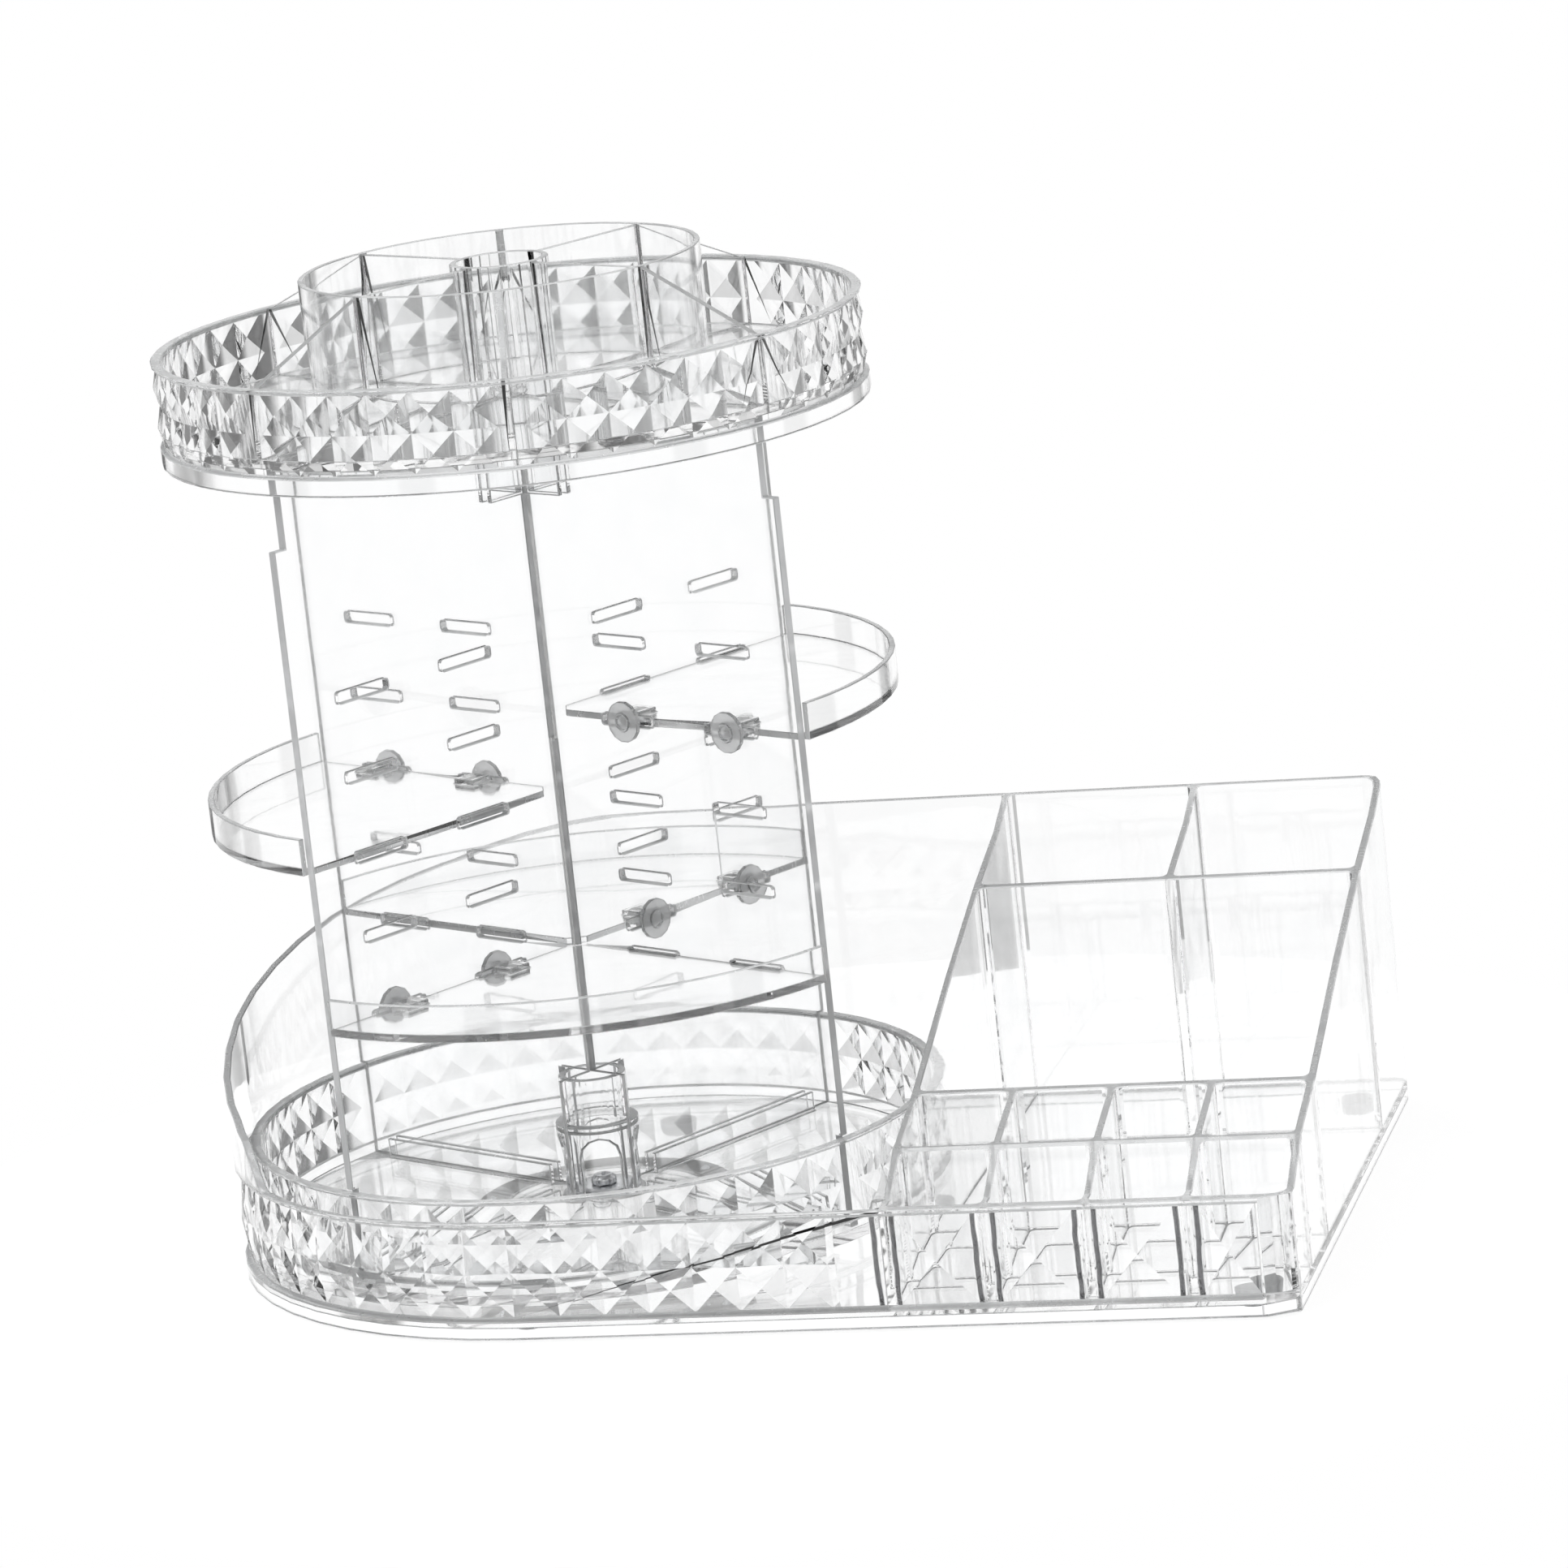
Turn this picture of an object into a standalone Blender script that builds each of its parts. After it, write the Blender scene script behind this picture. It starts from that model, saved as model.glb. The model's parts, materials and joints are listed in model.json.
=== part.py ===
"""Rotating bathroom organizer: a fixed base with a stepped caddy, and a turning tower of
two interlocking slotted panels with four quarter-round shelves and a lift-off top tray.

Sizes below are millimetres from the turning axis; meshes are made in metres, +Z up.
"""
import math

import bmesh
import bpy
from mathutils import Matrix, Vector

MM = 0.001
RUN_GAP = 0.3           # clearance between pieces that touch on the real object

# Walls and floor of the base
BASE_HALF_DEPTH = 120.5
WALL = 2.4
THIN_WALL = 2.2
SKIRT_BOTTOM = 1.0
FLOOR_BOTTOM = 4.8
FLOOR_THICKNESS = 2.7
FLOOR_TOP = FLOOR_BOTTOM + FLOOR_THICKNESS
FRONT_RIM = 39.5
BACK_RIM = 112.8
CORNER_RADIUS = 7.0
CHAMFER_X = 10.0
CHAMFER_Y = 5.0

# Band of big diamonds round the front of the base
BAND_DEPTH = 2.0
BAND_WALL = 2.3         # what is left of the wall behind the sunk band
BAND_INNER = BASE_HALF_DEPTH - BAND_DEPTH - BAND_WALL
BAND_LOW = 7.0
BAND_RIM = 1.3          # plain rim above the band
BAND_HIGH = FRONT_RIM - BAND_RIM
BAND_STEP = 0.8
BAND_START = 181.0
BAND_LEAD = 1.2
STRIP_HALF = 3.3
WIDE_FACETS = 4
ARC_FACETS = 6

# Round trays
TRAY_COLUMNS = 6
TRAY_SECTORS = 8
STRIP_DEGREES = 4.0
TRAY_FACET_DEPTH = 1.5
TRAY_WALL = 1.9
TRAY_HEIGHT = 33.6
TRAY_PLAIN = 5.6
TRAY_STEP = 0.6
TRAY_LIP = 0.9
TRAY_FLOOR = 2.5
WELL_GAP = 2.0          # between the rotating tray and the well it turns in
BEARING_HEIGHT = 3.7    # between the base's floor and the rotating tray
LOW_TRAY_RADIUS = BAND_INNER - WELL_GAP
LOW_TRAY_INNER = LOW_TRAY_RADIUS - TRAY_FACET_DEPTH - TRAY_WALL
LOW_TRAY_BOTTOM = FLOOR_TOP + BEARING_HEIGHT
LOW_TRAY_TOP = LOW_TRAY_BOTTOM + TRAY_HEIGHT
LOW_FLOOR_TOP = LOW_TRAY_BOTTOM + TRAY_FLOOR
TOP_TRAY_OVERHANG = 0.8 # the top tray over the rotating tray, all round
TOP_TRAY_RADIUS = LOW_TRAY_RADIUS + TOP_TRAY_OVERHANG
TOP_TRAY_INNER = TOP_TRAY_RADIUS - TRAY_FACET_DEPTH - TRAY_WALL
TOP_TRAY_BOTTOM = 272.7
TOP_TRAY_TOP = TOP_TRAY_BOTTOM + TRAY_HEIGHT
TOP_FLOOR_LIFT = 8.3    # the top tray's floor over its lower edge
TOP_TRAY_FLOOR_BOTTOM = TOP_TRAY_BOTTOM + TOP_FLOOR_LIFT
TOP_FLOOR_TOP = TOP_TRAY_FLOOR_BOTTOM + TRAY_FLOOR

# Caddy beside the well: its walls by their centre lines
CADDY_GAP = 6.7         # between the rotating tray and the caddy
CADDY_LEFT = LOW_TRAY_RADIUS + CADDY_GAP + THIN_WALL / 2.0
CADDY_LENGTH = 129.0
BASE_RIGHT = CADDY_LEFT + CADDY_LENGTH
AXIS_X = -(BASE_RIGHT - BASE_HALF_DEPTH) / 2.0
REAR_CELL_LENGTH = 65.0
REAR_SPLIT_X = CADDY_LEFT + REAR_CELL_LENGTH
FRONT_CELL_PITCH = 32.0
FRONT_SPLITS_X = [CADDY_LEFT + FRONT_CELL_PITCH * number for number in (1, 2, 3)]
FRONT_ROW_DEPTH = 26.2
ROW_WALL_Y = FRONT_ROW_DEPTH - BAND_INNER
SECOND_ROW_DEPTH = 33.0
STEP_WALL_Y = ROW_WALL_Y + SECOND_ROW_DEPTH
REAR_CELL_DEPTH = 60.5
REAR_WALL_Y = BASE_HALF_DEPTH - REAR_CELL_DEPTH
CELL_RADIUS = 2.2
FRONT_CELL_RADIUS = 5.0

# Height of the walls from back to front, as (y, z)
BACK_PROFILE = [
    (REAR_WALL_Y + 38.0, 105.0),
    (REAR_WALL_Y + 2.0, 96.5),
    (STEP_WALL_Y + 63.0, 80.0),
    (STEP_WALL_Y + 21.0, 66.0),
    (STEP_WALL_Y, 59.0),
]
SIDE_PROFILE = BACK_PROFILE + [(ROW_WALL_Y, 50.5), (ROW_WALL_Y - 20.0, FRONT_RIM)]
LEFT_PROFILE = BACK_PROFILE + [(STEP_WALL_Y - 8.0, 54.0), (STEP_WALL_Y - 19.0, FRONT_RIM)]

# Feet
FOOT_RADIUS = 6.5
FOOT_TAPER = 0.7
FOOT_INSET = 20.5       # centre of a foot from the front, back and left edge
RIGHT_FOOT_INSET = 17.0
WELL_FOOT_INSET = 12.0
FOOT_REACH = BASE_HALF_DEPTH - FOOT_INSET
FOOT_PLACES = [
    (-FOOT_REACH, 0.0),
    (0.0, FOOT_REACH),
    (0.0, -FOOT_REACH),
    (CADDY_LEFT - WELL_FOOT_INSET, 0.0),
    (BASE_RIGHT - RIGHT_FOOT_INSET, FOOT_REACH),
    (BASE_RIGHT - RIGHT_FOOT_INSET, -FOOT_REACH),
]

# Hub of the rotating tray
COLLAR_RADIUS = 14.75
COLLAR_TOP = 39.0
HUB_WALL = 2.4
HUB_STEP = 2.6          # shoulder between the collar and the tube
TUBE_RADIUS = COLLAR_RADIUS - HUB_STEP
TUBE_HEIGHT = 15.6
TUBE_TOP = COLLAR_TOP + TUBE_HEIGHT
ARCH_HALF_WIDTH = 6.2
ARCH_CROWN = 4.3        # collar left above an arch
ARCH_RISE = 6.2
ARCH_TOP = COLLAR_TOP - ARCH_CROWN
ARCH_SPRING = ARCH_TOP - ARCH_RISE
ARCH_SILL = 1.0

# Bearing
SPINDLE_RADIUS = 7.2
SPINDLE_STAND = 0.6     # spindle's end above the tray's floor, so that the washer doesn't clamp it
SPINDLE_TOP = LOW_FLOOR_TOP + SPINDLE_STAND
SPINDLE_GAP = 0.1
RACE_RADIUS = 40.0
RACE_HALF_WIDTH = 4.4
CAGE_THICKNESS = 1.3
CAGE_HOLE_GAP = 0.3
BALL_COUNT = 8
BALL_RADIUS = BEARING_HEIGHT / 2.0 - RUN_GAP
BALL_Z = FLOOR_TOP + BEARING_HEIGHT / 2.0
RIB_WIDTH = 1.4
RIB_GAP = 1.5           # between the cage's rib and the rotating tray
RIB_HEIGHT = BEARING_HEIGHT - RIB_GAP
WASHER_GAP = 1.85       # between the washer and the collar round it
WASHER_RADIUS = COLLAR_RADIUS - HUB_WALL - WASHER_GAP
WASHER_THICKNESS = 1.4
SCREW_HEAD_RADIUS = 4.2
SCREW_HEAD_HEIGHT = 3.0
SCREW_HEAD_ROUND = 1.2
SCREW_SHANK_RADIUS = 1.6
SCREW_POINT = 0.8
SCREW_GRIP = 5.9        # length of the screw in the spindle
SCREW_BOTTOM = SPINDLE_TOP - SCREW_GRIP
SCREW_BORE = SCREW_SHANK_RADIUS + RUN_GAP
SCREW_BORE_SPARE = 0.5  # bore under the screw's point
DRIVER_ARM = 2.1
DRIVER_HALF_WIDTH = 0.5
DRIVER_DEPTH = 1.4

# Cross panels
YAW = 15.0
QUARTER = 90.0
FIRST_WING = YAW + QUARTER / 2.0
PANEL_THICKNESS = 3.0
PANEL_HALF = PANEL_THICKNESS / 2.0
FACE = PANEL_HALF + RUN_GAP
PANEL_INSET = 1.9       # panel's edge inside the rotating tray's outside
PANEL_HALF_WIDTH = LOW_TRAY_RADIUS - PANEL_INSET
PANEL_FOOT_GAP = 0.6
PANEL_FOOT_HALF_WIDTH = LOW_TRAY_INNER - PANEL_FOOT_GAP
PANEL_NECK_GAP = 4.1
PANEL_NECK_HALF_WIDTH = TOP_TRAY_INNER - PANEL_NECK_GAP
PANEL_STEP_GAP = 0.8    # panel's shoulder over the rotating tray's rim
PANEL_STEP_Z = LOW_TRAY_TOP + PANEL_STEP_GAP
PANEL_NECK_DROP = 18.7
PANEL_NECK_Z = TOP_TRAY_BOTTOM - PANEL_NECK_DROP
PANEL_BOTTOM = LOW_FLOOR_TOP + RUN_GAP
PANEL_TOP = TOP_TRAY_FLOOR_BOTTOM - RUN_GAP
PANEL_NOTCH_TOP = TUBE_TOP + RUN_GAP
PANEL_NOTCH_HALF = COLLAR_RADIUS + RUN_GAP
LAP_Z = (PANEL_NOTCH_TOP + PANEL_TOP) / 2.0
SLOT_LENGTH = 22.0
SLOT_HEIGHT = 3.7
SLOT_CORNER = 0.9
SLOT_INSET = 30.3       # middle of the outer slot from the panel's edge
SLOT_SPACING = 46.0
OUTER_SLOT = PANEL_HALF_WIDTH - SLOT_INSET
SLOT_RADII = [OUTER_SLOT - SLOT_SPACING, OUTER_SLOT]
SLOT_TOP_Z = 202.5
SLOT_PITCH = 26.1
SLOT_ROWS = 5
SLOT_LEVELS = [SLOT_TOP_Z - SLOT_PITCH * row for row in range(SLOT_ROWS)]

# Rails that hold the panels
RAIL_START = 23.0
RAIL_END_GAP = 9.8      # between a rail and the rotating tray's wall
RAIL_END = LOW_TRAY_INNER - RAIL_END_GAP
RAIL_HEIGHT = 6.8
RAIL_TOP = LOW_FLOOR_TOP + RAIL_HEIGHT
RAIL_WIDTH = 1.6

# Buckles that pin the shelves through the slots
BUCKLE_HEAD_RADIUS = 6.8
BUCKLE_HEAD_THICKNESS = 1.6
BUCKLE_RING_RADIUS = 3.2
BUCKLE_RING_WIDTH = 0.7
BUCKLE_RING_HEIGHT = 0.5
BUCKLE_DISH = 0.4
BUCKLE_SHANK_RADIUS = SLOT_HEIGHT / 2.0 - RUN_GAP
BOSS_HALF_WIDTH = 4.5
BOSS_DEPTH = 8.0
BOSS_END_WALL = 0.7
BOSS_WALL = 1.05
BOSS_BORE = BUCKLE_SHANK_RADIUS + RUN_GAP
BOSS_HALF_HEIGHT = BOSS_BORE + BOSS_WALL
BORE_END = FACE + BOSS_DEPTH - BOSS_END_WALL
BUCKLE_REACH = BORE_END - RUN_GAP

# Shelves
SHELF_INSET = 0.2       # shelf's rim inside the rotating tray's outside
SHELF_RADIUS = LOW_TRAY_RADIUS - SHELF_INSET
SHELF_RIM_HEIGHT = 12.0
SHELF_FLOOR = 2.2
SHELF_DROP = 1.0
SHELF_WALL = 2.0
SHELF_CORNER = 5.0
TAB_PLAY = 1.5          # a tab is this much shorter than its slot
TAB_WIDTH = SLOT_LENGTH - TAB_PLAY
TAB_DEPTH = 2.2         # how far a tab stands in its slot
TAB_LENGTH = RUN_GAP + TAB_DEPTH
TAB_HALF_HEIGHT = 0.9

# Top tray inside
RING_RADIUS = 64.0
RING_RISE = 20.0        # ring and dividers over the top tray's rim
RING_TOP = TOP_TRAY_TOP + RING_RISE
CENTRE_TUBE_RADIUS = 16.0
DIVIDER = 2.0
DIVIDER_DROP = 0.5      # divider's edge under the ring's
RIM_DROP = 0.7          # divider's end under the tray's rim
DIVIDER_SINK = 0.7      # how far a divider reaches into the floor and the wall
UNDERSIDE_FLARE = 0.4   # the hollow under the floor is this much wider than the tray's inside
SOCKET_REACH = 19.0
SOCKET_DEPTH = 31.0
SOCKET_BOTTOM = TOP_TRAY_FLOOR_BOTTOM - SOCKET_DEPTH
SOCKET_WALL = 1.8

JOIN = 1.0              # how far a shape that is joined to another one reaches into it
CUT_OVER = 5.0          # how far a cut starts outside the material
CUT_STEP = 1.0          # between cuts in one piece, so that no two of them end in one plane


def clear_scene():
    for thing in list(bpy.data.objects):
        bpy.data.objects.remove(thing, do_unlink=True)


def new_collection(name):
    collection = bpy.data.collections.new(name)
    bpy.context.scene.collection.children.link(collection)
    return collection


clear_scene()
PARTS = new_collection("rotating_bathroom_organizer")
CUTTERS = new_collection("cutters")
AXIS = bpy.data.objects.new("turning_axis", None)
AXIS.location = (AXIS_X * MM, 0.0, 0.0)
PARTS.objects.link(AXIS)

# Finish: colour, roughness, metallic, alpha
CLEAR = ((0.93, 0.95, 0.96), 0.08, 0.0, 0.35)
CLEAR_PANEL = ((0.95, 0.96, 0.97), 0.05, 0.0, 0.3)
CLEAR_BUCKLE = ((0.86, 0.88, 0.9), 0.12, 0.0, 0.6)
RUBBER = ((0.32, 0.33, 0.34), 0.8, 0.0, 1.0)
STEEL = ((0.72, 0.73, 0.75), 0.22, 1.0, 1.0)
CAGE_PLASTIC = ((0.88, 0.88, 0.87), 0.4, 0.0, 1.0)


def add_object(name, mesh, collection):
    """Puts a mesh in the scene, carried by the turning axis."""
    thing = bpy.data.objects.new(name, mesh)
    collection.objects.link(thing)
    thing.parent = AXIS
    if collection == CUTTERS:
        thing.hide_render = True
        thing.display_type = "WIRE"
    return thing


def as_part(thing, finish):
    """Gives a piece its own material."""
    colour, roughness, metallic, alpha = finish
    material = bpy.data.materials.new(thing.name + "_finish")
    material.use_nodes = True
    shader = material.node_tree.nodes["Principled BSDF"]
    shader.inputs["Base Color"].default_value = (*colour, 1.0)
    shader.inputs["Roughness"].default_value = roughness
    shader.inputs["Metallic"].default_value = metallic
    shader.inputs["Alpha"].default_value = alpha
    thing.data.materials.clear()
    thing.data.materials.append(material)
    return thing


def place(thing, z=0.0, turn=0.0, upright=False):
    """Lifts a piece to z and turns it; an upright piece is drawn flat and stood up first."""
    thing.location = (0.0, 0.0, z * MM)
    thing.rotation_euler = (math.radians(90.0) if upright else 0.0, 0.0, math.radians(turn))
    return thing


def smooth(mesh):
    """Smooth shading on round faces, with the real edges kept sharp."""
    mesh.shade_smooth()
    mesh.set_sharp_from_angle(angle=math.radians(30.0))
    return mesh


def evaluated_mesh(thing):
    graph = bpy.context.evaluated_depsgraph_get()
    graph.update()
    return bpy.data.meshes.new_from_object(thing.evaluated_get(graph))


def solid(name, work, collection, round_faces=True):
    """Makes an object in metres of a bmesh in millimetres."""
    bmesh.ops.recalc_face_normals(work, faces=work.faces)
    bmesh.ops.scale(work, vec=Vector((MM, MM, MM)), verts=work.verts)
    mesh = bpy.data.meshes.new(name)
    work.to_mesh(mesh)
    work.free()
    if round_faces:
        smooth(mesh)
    return add_object(name, mesh, collection)


def turned(name, profile, steps, collection):
    """Turns a profile of (radius, z) points round Z; the profile runs down its outer side."""
    corners = [(radius * MM, 0.0, height * MM) for radius, height in profile]
    edges = [(number, number + 1) for number in range(len(corners) - 1)]
    if min(radius for radius, height in profile) > 0.0:
        edges.append((len(corners) - 1, 0))
    mesh = bpy.data.meshes.new(name)
    mesh.from_pydata(corners, edges, [])
    thing = add_object(name, mesh, collection)
    screw = thing.modifiers.new("turn", "SCREW")
    screw.axis = "Z"
    screw.angle = math.tau
    screw.steps = steps
    screw.render_steps = steps
    screw.use_merge_vertices = True
    screw.merge_threshold = 0.000001
    thing.data = smooth(evaluated_mesh(thing))
    thing.modifiers.clear()
    return thing


def flat(name, outlines, low, high, collection):
    """Fills flat outlines and makes them thick from low to high."""
    curve = bpy.data.curves.new(name, "CURVE")
    curve.dimensions = "2D"
    curve.fill_mode = "BOTH"
    curve.extrude = (high - low) / 2.0 * MM
    for outline in outlines:
        spline = curve.splines.new("POLY")
        spline.points.add(len(outline) - 1)
        for point, (x, y) in zip(spline.points, outline):
            point.co = (x * MM, y * MM, 0.0, 1.0)
        spline.use_cyclic_u = True
    guide = bpy.data.objects.new(name + "_outline", curve)
    CUTTERS.objects.link(guide)
    mesh = evaluated_mesh(guide)
    bpy.data.objects.remove(guide)
    work = bmesh.new()
    work.from_mesh(mesh)
    bmesh.ops.remove_doubles(work, verts=work.verts, dist=0.000001)
    bmesh.ops.recalc_face_normals(work, faces=work.faces)
    bmesh.ops.translate(work, vec=Vector((0.0, 0.0, (low + high) / 2.0 * MM)), verts=work.verts)
    work.to_mesh(mesh)
    work.free()
    return add_object(name, smooth(mesh), collection)


def gather(name, pieces, collection):
    """Joins separate solids into one object and removes the loose ones."""
    work = bmesh.new()
    for piece in pieces:
        first = len(work.verts)
        work.from_mesh(piece.data)
        work.verts.ensure_lookup_table()
        bmesh.ops.transform(work, matrix=piece.matrix_basis, verts=work.verts[first:])
        bpy.data.objects.remove(piece)
    mesh = bpy.data.meshes.new(name)
    work.to_mesh(mesh)
    work.free()
    return add_object(name, mesh, collection)


def boolean(target, other, operation):
    modifier = target.modifiers.new(other.name, "BOOLEAN")
    modifier.operation = operation
    modifier.solver = "EXACT"
    modifier.object = other


def cut(target, other):
    boolean(target, other, "DIFFERENCE")


def unite(target, other):
    boolean(target, other, "UNION")


def tidy(target):
    """Welds the points that the cuts doubled and joins the flat faces that they split."""
    weld = target.modifiers.new("weld", "WELD")
    weld.merge_threshold = 0.000005
    flats = target.modifiers.new("flats", "DECIMATE")
    flats.decimate_type = "DISSOLVE"
    flats.angle_limit = math.radians(0.2)


def arc(radius, start, end, steps, centre=(0.0, 0.0)):
    """Points along an arc, angles in degrees."""
    points = []
    for step in range(steps + 1):
        angle = math.radians(start + (end - start) * step / steps)
        points.append((centre[0] + radius * math.cos(angle), centre[1] + radius * math.sin(angle)))
    return points


def box(low_x, high_x, low_y, high_y):
    return [(low_x, low_y), (high_x, low_y), (high_x, high_y), (low_x, high_y)]


def rounded_box(low_x, high_x, low_y, high_y, radii, steps=3):
    """Box outline with rounded corners: front right, back right, back left, front left."""
    front_right, back_right, back_left, front_left = radii
    outline = arc(front_right, -90.0, 0.0, steps, (high_x - front_right, low_y + front_right))
    outline += arc(back_right, 0.0, 90.0, steps, (high_x - back_right, high_y - back_right))
    outline += arc(back_left, 90.0, 180.0, steps, (low_x + back_left, high_y - back_left))
    outline += arc(front_left, 180.0, 270.0, steps, (low_x + front_left, low_y + front_left))
    return outline


def start_outline(work, outline):
    """One flat face to extrude from."""
    return work.faces.new([work.verts.new((x, y, 0.0)) for x, y in outline])


def extrude_to(work, face, height):
    """Raises the top face to a height, and drops the face left inside the solid."""
    inside = any(len(edge.link_faces) > 1 for edge in face.edges)
    raised = bmesh.ops.extrude_face_region(work, geom=[face])
    if inside:
        bmesh.ops.delete(work, geom=[face], context="FACES_ONLY")
    top = [item for item in raised["geom"] if isinstance(item, bmesh.types.BMFace)][0]
    for corner in top.verts:
        corner.co.z = height
    return top


# Base: outer wall with the big diamonds
def front_edges():
    """Edges of the diamonds along the straight front, as (left x, right x)."""
    width = (CADDY_LEFT - STRIP_HALF) / WIDE_FACETS
    spans = [(width * number, width * (number + 1)) for number in range(WIDE_FACETS)]
    walls = [CADDY_LEFT] + FRONT_SPLITS_X
    for wall, following in zip(walls, walls[1:]):
        spans.append((wall + STRIP_HALF, following - STRIP_HALF))
    spans.append((walls[-1] + STRIP_HALF, BASE_RIGHT - CHAMFER_X - BAND_LEAD))
    return spans


def base_outline():
    """Plan of the base, counterclockwise from the right side."""
    corner = (BASE_RIGHT - CORNER_RADIUS, BASE_HALF_DEPTH - CORNER_RADIUS)
    outline = arc(CORNER_RADIUS, 0.0, 90.0, 4, corner)
    outline += arc(BASE_HALF_DEPTH, 90.0, 180.0, 12)
    outline += arc(BASE_HALF_DEPTH, BAND_START, 270.0, 2 * ARC_FACETS)
    for left, right in front_edges():
        if left > 0.0 and abs(outline[-1][0] - left) > 0.01:
            outline.append((left, -BASE_HALF_DEPTH))
        outline.append((right, -BASE_HALF_DEPTH))
    outline.append((BASE_RIGHT - CHAMFER_X, -BASE_HALF_DEPTH))
    outline.append((BASE_RIGHT, -BASE_HALF_DEPTH + CHAMFER_Y))
    return outline


def angle_of(spot):
    return math.degrees(math.atan2(spot.y, spot.x)) % 360.0


def band_inset(spot):
    """How far a point of the outline moves in where the diamonds lie."""
    front_end = front_edges()[-1][1]
    if spot.x < 0.01 and angle_of(spot) > BAND_START - 0.1 and spot.y < 0.0:
        return Vector((-spot.x, -spot.y, 0.0)).normalized() * BAND_DEPTH
    if abs(spot.y + BASE_HALF_DEPTH) < 0.01 and spot.x < front_end + 0.01:
        return Vector((0.0, BAND_DEPTH, 0.0))
    return Vector((0.0, 0.0, 0.0))


def is_front_diamond(middle):
    return middle.y < -BAND_INNER and any(left < middle.x < right for left, right in front_edges())


def add_big_diamonds(work):
    """Sinks the band between the skirt and the rim, then raises a point on each facet."""
    low = BAND_LOW + BAND_STEP
    high = BAND_HIGH - BAND_STEP
    for corner in work.verts:
        if low - 0.01 < corner.co.z < high + 0.01:
            corner.co += band_inset(corner.co)
    step = (270.0 - BAND_START) / ARC_FACETS
    seams = []
    for edge in work.edges:
        first, second = (corner.co for corner in edge.verts)
        upright = min(first.z, second.z) > low - 0.01 and max(first.z, second.z) < high + 0.01
        if upright and abs(first.z - second.z) > 1.0 and first.y < 0.0 and first.x < -0.01:
            if abs((angle_of(first) - BAND_START) % step - step / 2.0) < 0.1:
                seams.append(edge)
    bmesh.ops.dissolve_edges(work, edges=seams, use_verts=False)
    work.faces.ensure_lookup_table()
    for face in list(work.faces):
        middle = face.calc_center_median()
        if not low < middle.z < high:
            continue
        if middle.x < 0.0 and middle.y < 0.0 and angle_of(middle) > BAND_START:
            rise = BASE_HALF_DEPTH - math.hypot(middle.x, middle.y)
        elif is_front_diamond(middle):
            rise = BASE_HALF_DEPTH + middle.y
        else:
            continue
        bmesh.ops.poke(work, faces=[face], offset=rise)


def cut_steps(base):
    """Cuts the walls down from the back rim to the front rim, along the two profiles."""
    edge = BASE_HALF_DEPTH - WALL
    outside = BASE_HALF_DEPTH + CUT_OVER
    high = BACK_RIM + CUT_OVER * 2.0
    middle = CADDY_LEFT / 2.0
    for label, profile, low_x, high_x in (
        ("step_right", SIDE_PROFILE, middle - CUT_STEP, BASE_RIGHT + CUT_OVER),
        ("step_left", LEFT_PROFILE, -outside, middle + CUT_STEP),
    ):
        slope = (BACK_RIM - profile[0][1]) / (edge - profile[0][0])
        outline = [(edge + 1.0, BACK_RIM + slope), (edge + 1.0, high)]
        outline += [(-outside, high), (-outside, FRONT_RIM)]
        outline += list(reversed(profile))
        step = flat(label, [outline], low_x, high_x, CUTTERS)
        step.rotation_euler = (math.radians(QUARTER), 0.0, math.radians(QUARTER))
        cut(base, step)


def well_outline(front, right):
    """Plan of the round well: back half one wall inside, front half at the given radius."""
    back = BASE_HALF_DEPTH - WALL
    outline = [(right, back)] + arc(back, 90.0, 180.0, 12)
    outline += arc(front, BAND_START + 1.0, 270.0, 12)
    return outline + [(right, -front)]


def cell_outlines():
    half = THIN_WALL / 2.0
    left = CADDY_LEFT + half
    right = BASE_RIGHT - WALL
    back = BASE_HALF_DEPTH - WALL
    radii = [CELL_RADIUS] * 4
    rear_radii = [CELL_RADIUS, CORNER_RADIUS - WALL, CELL_RADIUS, CELL_RADIUS]
    front_radii = [FRONT_CELL_RADIUS, CELL_RADIUS, CELL_RADIUS, CELL_RADIUS]
    cells = [
        rounded_box(left, REAR_SPLIT_X - half, REAR_WALL_Y + half, back, radii),
        rounded_box(REAR_SPLIT_X + half, right, REAR_WALL_Y + half, back, rear_radii),
        rounded_box(left, right, STEP_WALL_Y + half, REAR_WALL_Y - half, radii),
    ]
    lefts = [wall + half for wall in [CADDY_LEFT] + FRONT_SPLITS_X]
    rights = [wall - half for wall in FRONT_SPLITS_X] + [right]
    for low_x, high_x in zip(lefts, rights):
        front = front_radii if high_x == right else radii
        cells.append(rounded_box(low_x, high_x, ROW_WALL_Y + half, STEP_WALL_Y - half, radii))
        cells.append(rounded_box(low_x, high_x, -BAND_INNER, ROW_WALL_Y - half, front))
    return cells


def underside_outline():
    inner = BASE_HALF_DEPTH - WALL
    right = BASE_RIGHT - WALL
    radius = CORNER_RADIUS - WALL
    outline = [(right, CHAMFER_Y + 1.0 - inner)]
    outline += arc(radius, 0.0, 90.0, 3, (right - radius, inner - radius))
    outline += arc(inner, 90.0, 270.0, 24)
    return outline + [(BASE_RIGHT - CHAMFER_X - 1.5, -inner)]


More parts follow.
